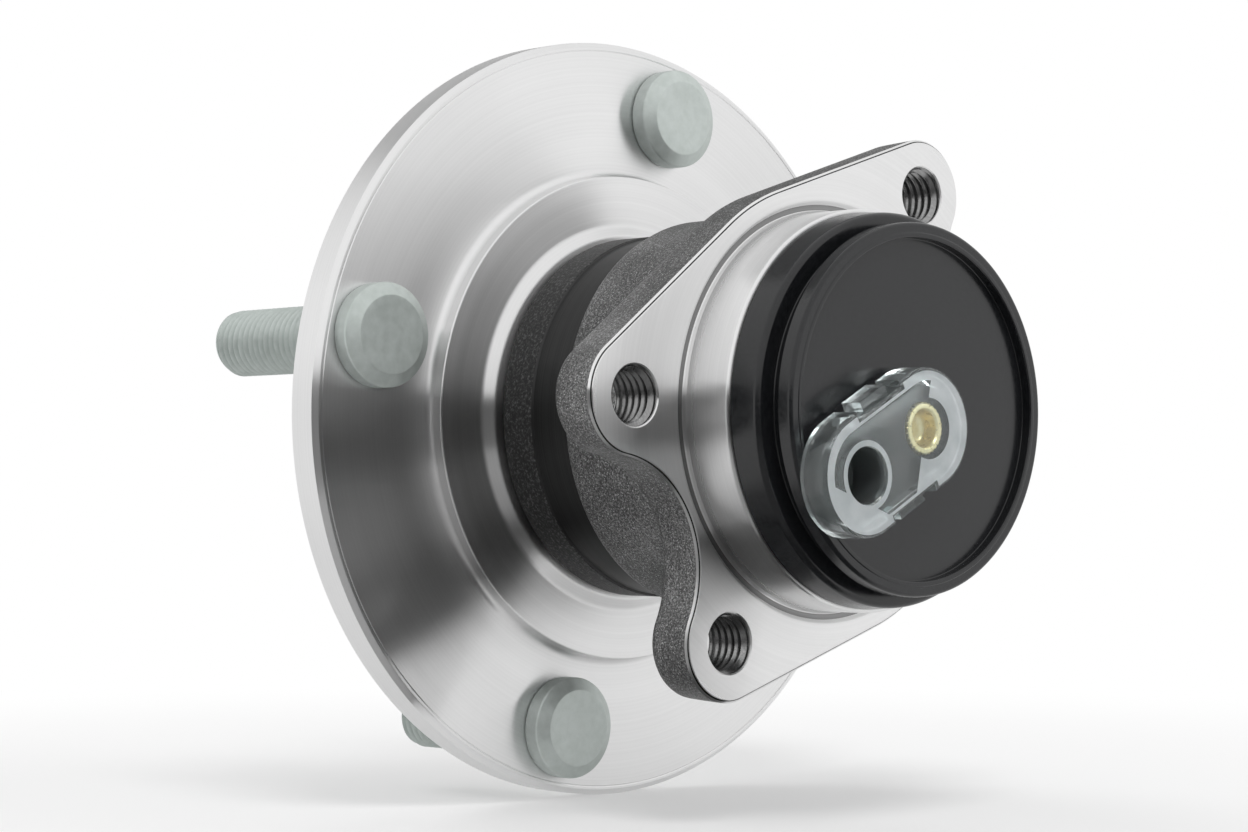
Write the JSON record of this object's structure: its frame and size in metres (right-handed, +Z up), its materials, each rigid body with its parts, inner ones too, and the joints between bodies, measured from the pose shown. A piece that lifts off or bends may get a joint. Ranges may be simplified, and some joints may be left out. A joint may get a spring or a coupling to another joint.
{
  "type": "wheel hub bearing",
  "caption": "Bolt-on hub bearing for a wheel that isn't driven: studded wheel flange, eared mounting flange, two ball rows and a capped sensor side.",
  "frame": {"origin": "on the spin axis, in the outboard face of the wheel flange that the wheel seats on", "axes": "+Y along the spin axis, out of the car, the way the studs point; +Z up"},
  "size_m": [0.137, 0.1194, 0.137],
  "materials": {
    "turned_steel": "fine turned, bright",
    "coated_steel": "thin grey-green zinc flake, satin",
    "bearing_steel": "ground and lapped",
    "ring_forging": "dark shot-blasted forging with bright turned faces",
    "sheet_steel": "rolled sheet",
    "seal_rubber": "matt",
    "encoder_rubber": "magnet-filled, smooth",
    "cage_plastic": "glass-filled nylon",
    "cap_plastic": "satin black moulding",
    "clear_plastic": "clear, slightly milky",
    "brass": "bright turned and knurled"
  },
  "bodies": {
    "housing": {"outer_ring": "ring_forging", "seal_case": "sheet_steel", "seal_lip": "seal_rubber", "cap_sleeve": "sheet_steel", "end_cap": "cap_plastic", "cap_o_ring": "seal_rubber", "sensor_insert": "brass"},
    "hub": {"hub_flange": "turned_steel", "wheel_stud_1": "coated_steel", "wheel_stud_2": "coated_steel", "wheel_stud_3": "coated_steel", "wheel_stud_4": "coated_steel", "inner_ring": "bearing_steel", "seal_flinger": "sheet_steel", "encoder_carrier": "sheet_steel", "encoder_ring": "encoder_rubber"},
    "outboard_row": {"outboard_balls": "bearing_steel", "outboard_cage": "cage_plastic"},
    "inboard_row": {"inboard_balls": "bearing_steel", "inboard_cage": "cage_plastic"},
    "cover": {"port_cover": "clear_plastic"}
  },
  "joints": [
    {"name": "hub_spin", "type": "hinge", "parent": "housing", "child": "hub", "pos_m": [0, 0, 0], "axis": [0, 1, 0], "continuous": true},
    {"name": "outboard_row_spin", "type": "hinge", "parent": "housing", "child": "outboard_row", "pos_m": [0, -0.025, 0], "axis": [0, 1, 0], "continuous": true},
    {"name": "inboard_row_spin", "type": "hinge", "parent": "housing", "child": "inboard_row", "pos_m": [0, -0.0505, 0], "axis": [0, 1, 0], "continuous": true},
    {"name": "cover_pull", "type": "slide", "parent": "housing", "child": "cover", "axis": [0, -1, 0], "range_m": [0, 0.02]}
  ],
  "couplings": [
    {"joint": "outboard_row_spin", "follows": "hub_spin", "ratio": 0.419},
    {"joint": "inboard_row_spin", "follows": "hub_spin", "ratio": 0.419}
  ]
}
